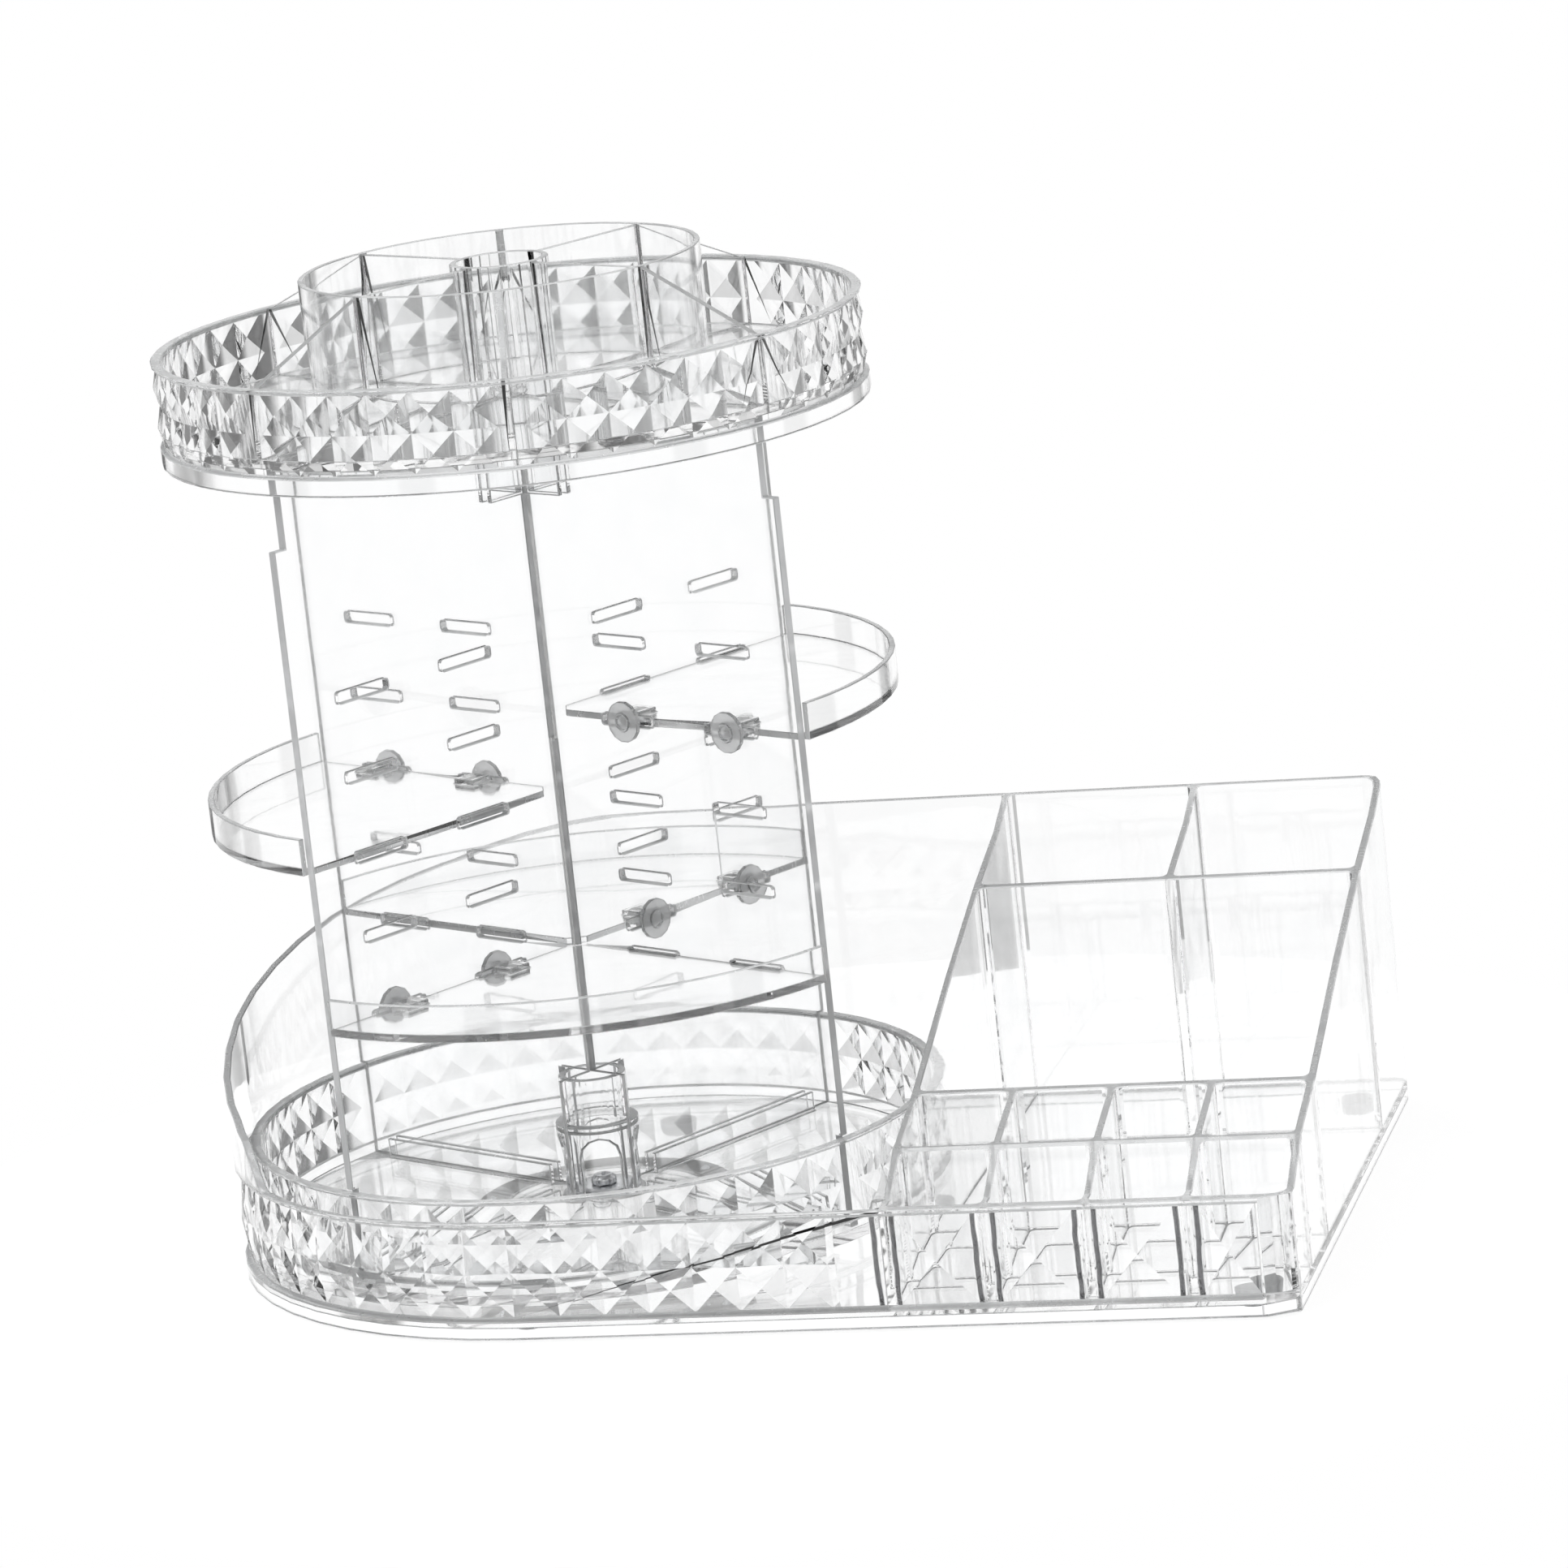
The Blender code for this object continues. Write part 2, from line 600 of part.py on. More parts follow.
def build_base():
    work = bmesh.new()
    face = start_outline(work, base_outline())
    for corner in face.verts:
        corner.co.z = SKIRT_BOTTOM
    for height in (BAND_LOW, BAND_LOW + BAND_STEP, BAND_HIGH - BAND_STEP, BAND_HIGH, BACK_RIM):
        face = extrude_to(work, face, height)
    bmesh.ops.recalc_face_normals(work, faces=work.faces)
    add_big_diamonds(work)
    base = solid("base_tray", work, PARTS, round_faces=False)
    cut_steps(base)
    well_right = CADDY_LEFT - THIN_WALL / 2.0
    inner = BASE_HALF_DEPTH - WALL
    low_well = [well_outline(BAND_INNER, well_right)]
    high_well = [well_outline(inner, well_right - 0.02)]
    high = BACK_RIM + CUT_OVER
    cut(base, flat("well_low", low_well, FLOOR_TOP, high, CUTTERS))
    cut(base, flat("well_high", high_well, BAND_HIGH + RUN_GAP, high + CUT_STEP, CUTTERS))
    cut(base, flat("cells", cell_outlines(), FLOOR_TOP, high + CUT_STEP * 2.0, CUTTERS))
    cut(base, flat("underside", [underside_outline()], SKIRT_BOTTOM - CUT_OVER, FLOOR_BOTTOM, CUTTERS))

    # Spindle, and the low rib that centres the ball cage
    low = FLOOR_BOTTOM + JOIN
    spindle = [(0.0, SPINDLE_TOP), (SPINDLE_RADIUS, SPINDLE_TOP), (SPINDLE_RADIUS, low), (0.0, low)]
    unite(base, turned("spindle", spindle, 32, CUTTERS))
    outer = RACE_RADIUS - RACE_HALF_WIDTH - RUN_GAP
    inner = outer - RIB_WIDTH
    top = FLOOR_TOP + RIB_HEIGHT
    unite(base, turned("race_rib", [(inner, top), (outer, top), (outer, low), (inner, low)], 48, CUTTERS))
    top = SPINDLE_TOP + CUT_OVER
    low = SCREW_BOTTOM - SCREW_BORE_SPARE
    bore = [(0.0, top), (SCREW_BORE, top), (SCREW_BORE, low), (0.0, low)]
    cut(base, turned("screw_bore", bore, 16, CUTTERS))
    tidy(base)
    return as_part(base, CLEAR)


def build_feet():
    top = FLOOR_BOTTOM - RUN_GAP
    low_radius = FOOT_RADIUS - FOOT_TAPER
    lift = Matrix.Translation((0.0, 0.0, top / 2.0))
    for number, (x, y) in enumerate(FOOT_PLACES, 1):
        work = bmesh.new()
        bmesh.ops.create_cone(
            work, cap_ends=True, segments=16, radius1=low_radius, radius2=FOOT_RADIUS, depth=top, matrix=lift
        )
        foot = as_part(solid("foot_%d" % number, work, PARTS), RUBBER)
        foot.location = (x * MM, y * MM, 0.0)


# Ball bearing between the base and the rotating tray
def ball_spots():
    for number in range(BALL_COUNT):
        angle = math.tau * number / BALL_COUNT
        yield Vector((RACE_RADIUS * math.cos(angle), RACE_RADIUS * math.sin(angle), BALL_Z))


def build_cage():
    inner = RACE_RADIUS - RACE_HALF_WIDTH
    outer = RACE_RADIUS + RACE_HALF_WIDTH
    low = BALL_Z - CAGE_THICKNESS / 2.0
    high = BALL_Z + CAGE_THICKNESS / 2.0
    steps = 60
    cage = turned("bearing_cage", [(inner, high), (outer, high), (outer, low), (inner, low)], steps, PARTS)
    # Half a facet of turn puts each pocket inside one facet
    place(cage, turn=180.0 / steps)
    work = bmesh.new()
    size = BALL_RADIUS + CAGE_HOLE_GAP
    for spot in ball_spots():
        at = Matrix.Translation(spot)
        depth = CAGE_THICKNESS * 3.0
        bmesh.ops.create_cone(
            work, cap_ends=True, segments=12, radius1=size, radius2=size, depth=depth, matrix=at
        )
    cut(cage, solid("ball_pockets", work, CUTTERS))
    tidy(cage)
    return as_part(cage, CAGE_PLASTIC)


def build_balls():
    for number, spot in enumerate(ball_spots(), 1):
        work = bmesh.new()
        bmesh.ops.create_uvsphere(work, u_segments=8, v_segments=6, radius=BALL_RADIUS)
        ball = as_part(solid("ball_%d" % number, work, PARTS), STEEL)
        ball.location = spot * MM


def build_washer():
    low = SPINDLE_TOP + RUN_GAP
    high = low + WASHER_THICKNESS
    profile = [(SCREW_BORE, high), (WASHER_RADIUS, high), (WASHER_RADIUS, low), (SCREW_BORE, low)]
    return as_part(turned("thrust_washer", profile, 24, PARTS), STEEL)


def build_screw():
    low = SPINDLE_TOP + RUN_GAP + WASHER_THICKNESS + RUN_GAP
    high = low + SCREW_HEAD_HEIGHT
    profile = [
        (0.0, high),
        (SCREW_HEAD_RADIUS - SCREW_HEAD_ROUND, high),
        (SCREW_HEAD_RADIUS, high - SCREW_HEAD_ROUND),
        (SCREW_HEAD_RADIUS, low),
        (SCREW_SHANK_RADIUS, low),
        (SCREW_SHANK_RADIUS, SCREW_BOTTOM + SCREW_POINT),
        (SCREW_SHANK_RADIUS - SCREW_POINT, SCREW_BOTTOM),
        (0.0, SCREW_BOTTOM),
    ]
    screw = turned("centre_screw", profile, 16, PARTS)
    arm = DRIVER_ARM
    thin = DRIVER_HALF_WIDTH
    cross = [
        (thin, -arm), (thin, -thin), (arm, -thin), (arm, thin), (thin, thin), (thin, arm),
        (-thin, arm), (-thin, thin), (-arm, thin), (-arm, -thin), (-thin, -thin), (-thin, -arm),
    ]
    recess = flat("driver_recess", [cross], high - DRIVER_DEPTH, high + CUT_OVER, CUTTERS)
    cut(screw, place(recess, turn=YAW))
    tidy(screw)
    return as_part(screw, STEEL)


# Round trays: a drum whose wall has two rows of small diamonds between plain strips
def tray_outline(radius):
    sector = 360.0 / TRAY_SECTORS
    outline = []
    for number in range(TRAY_SECTORS):
        middle = YAW + sector * number
        first = middle + STRIP_DEGREES / 2.0
        last = middle + sector - STRIP_DEGREES / 2.0
        outline += arc(radius, first, last, TRAY_COLUMNS)
    return outline


def tray_drum(name, radius, bottom):
    sunk = radius - TRAY_FACET_DEPTH
    low = bottom + TRAY_PLAIN
    high = bottom + TRAY_HEIGHT - TRAY_LIP
    band_low = low + TRAY_STEP
    band_high = high - TRAY_STEP
    levels = [
        (low, radius),
        (band_low, sunk),
        ((band_low + band_high) / 2.0, sunk),
        (band_high, sunk),
        (high, radius),
        (bottom + TRAY_HEIGHT, radius),
    ]
    work = bmesh.new()
    face = start_outline(work, tray_outline(radius))
    for corner in face.verts:
        corner.co.z = bottom
    for height, size in levels:
        face = extrude_to(work, face, height)
        for corner in face.verts:
            corner.co.xy = corner.co.xy.normalized() * size
    bmesh.ops.recalc_face_normals(work, faces=work.faces)
    sector = 360.0 / TRAY_SECTORS
    for side in list(work.faces):
        middle = side.calc_center_median()
        from_strip = (angle_of(middle) - YAW + sector / 2.0) % sector - sector / 2.0
        if band_low < middle.z < band_high and abs(from_strip) > STRIP_DEGREES / 2.0:
            bmesh.ops.poke(work, faces=[side], offset=radius - middle.xy.length)
    return solid(name, work, PARTS, round_faces=False)


def hollow(tray, label, radius, low, high):
    profile = [(0.0, high), (radius, high), (radius, low), (0.0, low)]
    cut(tray, place(turned(label, profile, 64, CUTTERS), turn=YAW))


def arch_outline():
    rise = ARCH_TOP - ARCH_SPRING
    sill = LOW_FLOOR_TOP + ARCH_SILL
    outline = [(-ARCH_HALF_WIDTH, sill), (ARCH_HALF_WIDTH, sill)]
    curve = arc(ARCH_HALF_WIDTH, 0.0, 180.0, 6)
    return outline + [(x, ARCH_SPRING + y * rise / ARCH_HALF_WIDTH) for x, y in curve]


def build_rotating_tray():
    tray = tray_drum("rotating_tray", LOW_TRAY_RADIUS, LOW_TRAY_BOTTOM)
    hollow(tray, "low_tray_hollow", LOW_TRAY_INNER, LOW_FLOOR_TOP, LOW_TRAY_TOP + CUT_OVER)

    # Hub: collar, shoulder and upper tube in one turned profile
    collar_inner = COLLAR_RADIUS - HUB_WALL
    tube_inner = TUBE_RADIUS - HUB_WALL
    shoulder = COLLAR_TOP - HUB_WALL
    sunk = LOW_FLOOR_TOP - JOIN
    profile = [
        (tube_inner, TUBE_TOP),
        (TUBE_RADIUS, TUBE_TOP),
        (TUBE_RADIUS, COLLAR_TOP),
        (COLLAR_RADIUS, COLLAR_TOP),
        (COLLAR_RADIUS, sunk),
        (collar_inner, sunk),
        (collar_inner, shoulder),
        (tube_inner, shoulder),
    ]
    unite(tray, place(turned("hub", profile, 32, CUTTERS), turn=YAW))

    # Arches through the collar, centred between the panels
    reach = COLLAR_RADIUS + CUT_OVER
    for number in range(2):
        arch = flat("arch_%d" % number, [arch_outline()], -reach, reach, CUTTERS)
        cut(tray, place(arch, turn=YAW + QUARTER * number, upright=True))

    # Rails on the floor, a pair for each panel wing
    rails = []
    for wing in range(4):
        pair = [
            box(RAIL_START, RAIL_END, FACE, FACE + RAIL_WIDTH),
            box(RAIL_START, RAIL_END, -FACE - RAIL_WIDTH, -FACE),
        ]
        rail = flat("rail_%d" % wing, pair, LOW_FLOOR_TOP - JOIN, RAIL_TOP, CUTTERS)
        rails.append(place(rail, turn=FIRST_WING + QUARTER * wing))
    unite(tray, gather("rails", rails, CUTTERS))

    # Centre hole that runs on the spindle
    hole = SPINDLE_RADIUS + SPINDLE_GAP
    low = LOW_TRAY_BOTTOM - CUT_OVER
    profile = [(0.0, SPINDLE_TOP), (hole, SPINDLE_TOP), (hole, low), (0.0, low)]
    cut(tray, turned("spindle_hole", profile, 32, CUTTERS))
    tidy(tray)
    return as_part(tray, CLEAR)


def build_top_tray():
    tray = tray_drum("top_tray", TOP_TRAY_RADIUS, TOP_TRAY_BOTTOM)
    under = TOP_TRAY_INNER + UNDERSIDE_FLARE
    hollow(tray, "top_tray_hollow", TOP_TRAY_INNER, TOP_FLOOR_TOP, TOP_TRAY_TOP + CUT_OVER)
    hollow(tray, "top_tray_underside", under, TOP_TRAY_BOTTOM - CUT_OVER, TOP_TRAY_FLOOR_BOTTOM)

    # Ring and centre tube
    half = DIVIDER / 2.0
    sunk = TOP_FLOOR_TOP - JOIN
    for label, radius, steps in (("ring", RING_RADIUS, 56), ("centre_tube", CENTRE_TUBE_RADIUS - half, 28)):
        profile = [
            (radius - half, RING_TOP), (radius + half, RING_TOP), (radius + half, sunk), (radius - half, sunk)
        ]
        unite(tray, place(turned(label, profile, steps, CUTTERS), turn=YAW))

    # Dividers: level inside the ring, sloping from the ring down to the rim outside it
    sunk = TOP_FLOOR_TOP - DIVIDER_SINK
    high = RING_TOP - DIVIDER_DROP
    low = TOP_TRAY_TOP - RIM_DROP
    end = TOP_TRAY_INNER + DIVIDER_SINK
    ring_half = half / 2.0
    level = box(CENTRE_TUBE_RADIUS - half, RING_RADIUS - ring_half, sunk, high)
    sloping = [(RING_RADIUS + ring_half, sunk), (end, sunk), (end, low), (RING_RADIUS + ring_half, high)]
    plates = []
    # Places of the dividers in eighth turns from the tray's own zero
    for outline, turns in ((level, (1, 3, 5, 7)), (sloping, (1, 2, 3, 5, 6, 7))):
        for number in turns:
            plate = flat("divider_%d" % len(plates), [outline], -half, half, CUTTERS)
            plates.append(place(plate, turn=YAW + QUARTER / 2.0 * number, upright=True))
    unite(tray, gather("dividers", plates, CUTTERS))

    # Cross socket below: four angle ribs round the crossing of the panels
    far = FACE + SOCKET_WALL
    bracket = [
        (FACE, FACE), (SOCKET_REACH, FACE), (SOCKET_REACH, far), (far, far), (far, SOCKET_REACH),
        (FACE, SOCKET_REACH),
    ]
    ribs = []
    for corner in range(4):
        rib = flat("rib_%d" % corner, [bracket], SOCKET_BOTTOM, TOP_TRAY_FLOOR_BOTTOM + JOIN, CUTTERS)
        ribs.append(place(rib, turn=FIRST_WING + QUARTER * corner))
    unite(tray, gather("socket", ribs, CUTTERS))
    tidy(tray)
    return as_part(tray, CLEAR)


# Interlocking cross panels with oblong slots
def slot_outline(centre, level):
    """Oblong slot in (radius, z) with rounded corners."""
    reach = SLOT_LENGTH / 2.0 - SLOT_CORNER
    rise = SLOT_HEIGHT / 2.0 - SLOT_CORNER
    outline = []
    for start, x, z in ((-90.0, reach, -rise), (0.0, reach, rise), (90.0, -reach, rise), (180.0, -reach, -rise)):
        outline += arc(SLOT_CORNER, start, start + 90.0, 2, (centre + x, level + z))
    return outline


def panel_outline(lap_from_top):
    """Half the outline of a panel with its shoulders; the other half is its mirror."""
    side = [
        (PANEL_NOTCH_HALF, PANEL_NOTCH_TOP),
        (PANEL_NOTCH_HALF, PANEL_BOTTOM),
        (PANEL_FOOT_HALF_WIDTH, PANEL_BOTTOM),
        (PANEL_FOOT_HALF_WIDTH, PANEL_STEP_Z),
        (PANEL_HALF_WIDTH, PANEL_STEP_Z),
        (PANEL_HALF_WIDTH, PANEL_NECK_Z),
        (PANEL_NECK_HALF_WIDTH, PANEL_NECK_Z),
        (PANEL_NECK_HALF_WIDTH, PANEL_TOP),
    ]
    if lap_from_top:
        side += [(FACE, PANEL_TOP), (FACE, LAP_Z - RUN_GAP)]
    else:
        side = [(FACE, LAP_Z + RUN_GAP), (FACE, PANEL_NOTCH_TOP)] + side
    return side + [(-x, z) for x, z in reversed(side)]


def build_panel(name, degrees, lap_from_top):
    panel = flat(name, [panel_outline(lap_from_top)], -PANEL_HALF, PANEL_HALF, PARTS)
    place(panel, turn=degrees, upright=True)
    slots = []
    for level in SLOT_LEVELS:
        for radius in SLOT_RADII:
            slots += [slot_outline(radius, level), slot_outline(-radius, level)]
    through = flat(name + "_slots", slots, -PANEL_THICKNESS, PANEL_THICKNESS, CUTTERS)
    cut(panel, place(through, turn=degrees, upright=True))
    tidy(panel)
    return as_part(panel, CLEAR_PANEL)


# Shelf in its own frame: buckle panel along +X, tab panel along +Y, slot centre at z 0
def build_shelf_shape():
    low = -SHELF_DROP
    high = low + SHELF_RIM_HEIGHT
    start = math.degrees(math.asin(FACE / SHELF_RADIUS))
    steps = 15
    outline = [(FACE + SHELF_CORNER, FACE)] + arc(SHELF_RADIUS, start, QUARTER - start, steps)
    outline.append((FACE, FACE + SHELF_CORNER))
    shelf = flat("shelf_shape", [outline], low, high, CUTTERS)
    # Everything above the floor goes, up to the curved rim
    inner = SHELF_RADIUS - SHELF_WALL
    above = [(-CUT_OVER, -CUT_OVER), (inner, -CUT_OVER)] + arc(inner, 0.0, QUARTER, steps)
    above.append((-CUT_OVER, inner))
    cut(shelf, flat("shelf_hollow", [above], low + SHELF_FLOOR, high + CUT_OVER, CUTTERS))
    bosses = [box(r - BOSS_HALF_WIDTH, r + BOSS_HALF_WIDTH, FACE, FACE + BOSS_DEPTH) for r in SLOT_RADII]
    unite(shelf, flat("shelf_bosses", bosses, -BOSS_HALF_HEIGHT, BOSS_HALF_HEIGHT, CUTTERS))
    half = TAB_WIDTH / 2.0
    tabs = [box(FACE - TAB_LENGTH, FACE + JOIN, r - half, r + half) for r in SLOT_RADII]
    unite(shelf, flat("shelf_tabs", tabs, -TAB_HALF_HEIGHT, TAB_HALF_HEIGHT, CUTTERS))
    bores = [arc(BOSS_BORE, 0.0, 330.0, 11, (r, 0.0)) for r in SLOT_RADII]
    bore = flat("shelf_bores", bores, -BORE_END, FACE / 2.0, CUTTERS)
    cut(shelf, place(bore, upright=True))
    tidy(shelf)
    return shelf


def build_buckle_shape():
    """Push-in buckle along +Z: head and ring outside, shank pointing down."""
    head = BUCKLE_HEAD_THICKNESS
    ring = BUCKLE_RING_RADIUS
    ring_inner = ring - BUCKLE_RING_WIDTH
    ring_top = head + BUCKLE_RING_HEIGHT
    depth = BUCKLE_REACH + FACE
    profile = [
        (0.0, head - BUCKLE_DISH),
        (ring_inner, head - BUCKLE_DISH),
        (ring_inner, ring_top),
        (ring, ring_top),
        (ring, head),
        (BUCKLE_HEAD_RADIUS, head),
        (BUCKLE_HEAD_RADIUS, 0.0),
        (BUCKLE_SHANK_RADIUS, 0.0),
        (BUCKLE_SHANK_RADIUS, -depth),
        (0.0, -depth),
    ]
    return turned("buckle_shape", profile, 14, CUTTERS)


def build_shelves():
    shelf_mesh = evaluated_mesh(build_shelf_shape())
    buckle_mesh = build_buckle_shape().data
    # Name, wing that the buckles go through, slot row counted from the top
    places = (
        ("shelf_right", 3, 1),
        ("shelf_left", 1, 2),
        ("shelf_front", 2, 4),
        ("shelf_back", 0, 4),
    )
    for name, wing, row in places:
        degrees = FIRST_WING + QUARTER * wing
        level = SLOT_LEVELS[row]
        shelf = add_object(name, shelf_mesh.copy(), PARTS)
        as_part(place(shelf, level, degrees), CLEAR)
        turn = math.radians(degrees)
        along = Vector((math.cos(turn), math.sin(turn), 0.0))
        out = Vector((math.sin(turn), -math.cos(turn), 0.0))
        for label, radius in zip(("inner", "outer"), SLOT_RADII):
            buckle = add_object("%s_buckle_%s" % (name, label), buckle_mesh.copy(), PARTS)
            as_part(place(buckle, turn=degrees, upright=True), CLEAR_BUCKLE)
            buckle.location = (along * radius + out * FACE + Vector((0.0, 0.0, level))) * MM


build_base()
build_feet()
build_cage()
build_balls()
build_washer()
build_screw()
build_rotating_tray()
build_panel("panel_a", FIRST_WING + QUARTER, True)
build_panel("panel_b", FIRST_WING, False)
build_shelves()
build_top_tray()
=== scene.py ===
# %% [markdown]
# # A rotating organizer in clear plastic
# The real object is moulded and cut from clear, colourless plastic: a base with a stepped caddy, a round
# tray that turns in it, two crossed panels with four shelves, and a round tray on top. Its walls carry
# pressed diamonds, and all that the eye gets of it are thin grey edges and grey and dark facets. The CAD
# model already holds every shape at its true size. Here its nodes get finer edges and real materials.

# %% Load the frame
import json
import math

import bpy
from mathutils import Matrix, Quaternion, Vector

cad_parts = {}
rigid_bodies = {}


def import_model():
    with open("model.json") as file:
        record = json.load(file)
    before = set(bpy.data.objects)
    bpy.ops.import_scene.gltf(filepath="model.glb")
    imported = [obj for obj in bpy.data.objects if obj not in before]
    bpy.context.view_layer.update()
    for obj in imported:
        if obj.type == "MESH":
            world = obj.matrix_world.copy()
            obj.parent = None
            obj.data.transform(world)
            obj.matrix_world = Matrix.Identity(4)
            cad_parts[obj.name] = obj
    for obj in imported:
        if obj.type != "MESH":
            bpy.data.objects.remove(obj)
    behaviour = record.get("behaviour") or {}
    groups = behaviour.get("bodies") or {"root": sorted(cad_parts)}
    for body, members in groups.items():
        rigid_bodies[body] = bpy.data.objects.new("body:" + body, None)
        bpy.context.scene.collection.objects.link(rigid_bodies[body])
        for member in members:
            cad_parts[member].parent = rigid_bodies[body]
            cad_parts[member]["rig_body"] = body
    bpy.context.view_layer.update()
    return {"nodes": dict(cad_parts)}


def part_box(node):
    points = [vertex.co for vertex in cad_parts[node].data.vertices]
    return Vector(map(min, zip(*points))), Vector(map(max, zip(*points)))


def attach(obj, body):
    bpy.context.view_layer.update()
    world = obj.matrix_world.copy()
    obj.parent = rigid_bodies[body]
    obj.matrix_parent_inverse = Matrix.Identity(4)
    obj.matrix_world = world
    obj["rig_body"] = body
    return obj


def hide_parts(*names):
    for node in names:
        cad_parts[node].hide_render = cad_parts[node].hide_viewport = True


MM = 0.001

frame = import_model()

# %% [markdown]
# ## The camera
# The photograph is taken with a long lens, a little from above and a little from the right, and the
# camera is tilted by six degrees, so that the tower leans to the left. A camera that tracks a target
# gives the angle. The tilt is a turn about the camera's own axis, made after it.

# %% Place the camera
AZIMUTH = math.radians(14.335)
ELEVATION = math.radians(12.997)
TILT = math.radians(6.142)
DISTANCE = 2.38517
LENS = 167.76
FAR_END = 20.0
TARGET = Vector((0.00625, 0.01565, 0.14464))

back = Vector((
    math.sin(AZIMUTH) * math.cos(ELEVATION),
    -math.cos(AZIMUTH) * math.cos(ELEVATION),
    math.sin(ELEVATION),
))
turn = (-back).to_track_quat("-Z", "Y") @ Quaternion((0.0, 0.0, 1.0), -TILT)
bpy.ops.object.camera_add(location=TARGET + back * DISTANCE, rotation=turn.to_euler())
camera = bpy.context.active_object
camera.data.lens = LENS
camera.data.clip_end = FAR_END
bpy.context.scene.camera = camera
bpy.context.scene.view_settings.view_transform = "Standard"
print("camera at", [round(value, 3) for value in camera.location])

# %% [markdown]
# ## A short way to write shader nodes
# Nodes can be wired one by one, but the sums in a material are easier to read as sums. A small class
# wraps a socket and overloads the operators, so an expression adds its own Math nodes. Every other node
# comes from one method that takes its type, its settings and its inputs.


# %% Wrap sockets and node trees
class Signal:
    """An output socket that can be calculated with."""

    def __init__(self, tree, node, output):
        self.tree = tree
        self.node = node
        self.socket = node.outputs[output]

    def out(self, output):
        return Signal(self.tree, self.node, output)

    def maths(self, operation, first, second=0.0, clipped=False):
        settings = {"operation": operation, "use_clamp": clipped}
        return self.tree.add("ShaderNodeMath", settings, {0: first, 1: second})

    def __add__(self, other):
        return self.maths("ADD", self, other)

    def __sub__(self, other):
        return self.maths("SUBTRACT", self, other)

    def __rsub__(self, other):
        return self.maths("SUBTRACT", other, self)

    def __mul__(self, other):
        return self.maths("MULTIPLY", self, other)

    def __neg__(self):
        return self.maths("MULTIPLY", self, -1.0)

    def smaller(self, other):
        return self.maths("MINIMUM", self, other)

    def larger(self, other):
        return self.maths("MAXIMUM", self, other)

    def is_under(self, other):
        return self.maths("LESS_THAN", self, other)

    def zigzag(self, step):
        """Rises from 0 to the step and falls again, over and over."""
        return self.maths("PINGPONG", self, step)

    def cosine(self):
        return self.maths("COSINE", self)

    def clipped(self):
        """Kept between 0 and 1."""
        return self.maths("ADD", self, 0.0, clipped=True)


class Tree:
    """The nodes of one material or world."""

    def __init__(self, owner):
        owner.use_nodes = True
        self.nodes = owner.node_tree.nodes
        self.links = owner.node_tree.links
        self.nodes.clear()

    def add(self, kind, settings=None, inputs=None, output=0):
        node = self.nodes.new(kind)
        for name, value in (settings or {}).items():
            setattr(node, name, value)
        for name, value in (inputs or {}).items():
            if isinstance(value, Signal):
                self.links.new(value.socket, node.inputs[name])
            else:
                node.inputs[name].default_value = value
        return Signal(self, node, output)

    def end(self, shader, kind="ShaderNodeOutputMaterial"):
        self.links.new(shader.socket, self.nodes.new(kind).inputs["Surface"])

    def noise(self, place, scale, detail=2.0, roughness=0.5):
        inputs = {"Vector": place, "Scale": scale, "Detail": detail, "Roughness": roughness}
        return self.add("ShaderNodeTexNoise", None, inputs)

    def stretched(self, place, scale):
        return self.add("ShaderNodeMapping", None, {"Vector": place, "Scale": scale})

    def apart(self, place):
        """The x, y and z of a place."""
        split = self.add("ShaderNodeSeparateXYZ", None, {"Vector": place})
        return split, split.out("Y"), split.out("Z")

    def between(self, value, low, high):
        """0 where the value is under low, 1 where it is over high, smooth in between."""
        settings = {"interpolation_type": "SMOOTHSTEP"}
        return self.add("ShaderNodeMapRange", settings, {"Value": value, "From Min": low, "From Max": high})

    def tint(self, factor, first, second):
        """A colour between two colours, the first of which may be a signal."""
        start = first if isinstance(first, Signal) else (*first, 1.0)
        inputs = {"Factor": factor, "A": start, "B": (*second, 1.0)}
        return self.add("ShaderNodeMix", {"data_type": "RGBA"}, inputs, "Result")

    def bump(self, height, distance, strength=1.0, onto=None):
        inputs = {"Height": height, "Distance": distance, "Strength": strength}
        if onto is not None:
            inputs["Normal"] = onto
        return self.add("ShaderNodeBump", None, inputs)


# %% [markdown]
# ## The pressed front of the base
# The CAD model gives the front wall its large, low diamonds and the flat strips between them. On the real
# object each large diamond also carries small, steep ones, and the strips stand out as ribs with hard
# shoulders. Such fine relief is made here as a height in millimetres, for a Bump node. A place on the wall
# is unrolled first: round the left half it is an angle times the radius, along the straight part it is x.
# A zigzag across and a zigzag up then give little pyramids, because the smaller of the two wins. The ribs'
# shoulders are so steep that no light from behind gets through them, so shade is painted on them as well:
# their colour is turned a near-black grey.

# %% Work out the relief
BAND_OUTSIDE = 117.2    # from the turning axis: everything farther out is the wall's outer side
BAND_RADIUS = 119.5
BAND_LOW = 7.8
BAND_HIGH = 37.4
FACET = 14.8            # half the height of the band
FACET_SLOPE = 0.3
RIB_PLACE = 122.0       # first rib, at the wall between the well and the caddy
RIB_PITCH = 32.0
RIB_COUNT = 4
RIB_HALF = 4.2
RIB_SHOULDER = 2.2
RIB_RISE = 1.5
RIB_WANDER = 2.4        # the ribs' sides aren't quite straight
WANDER_SCALE = 60.0
SHADE_GAIN = 12.0       # how quickly a shoulder gets fully dark
SOFT = 0.1


def turning_axis():
    """Where the tower's turning axis stands, along X."""
    low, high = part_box("centre_screw")
    return (low.x + high.x) / 2.0


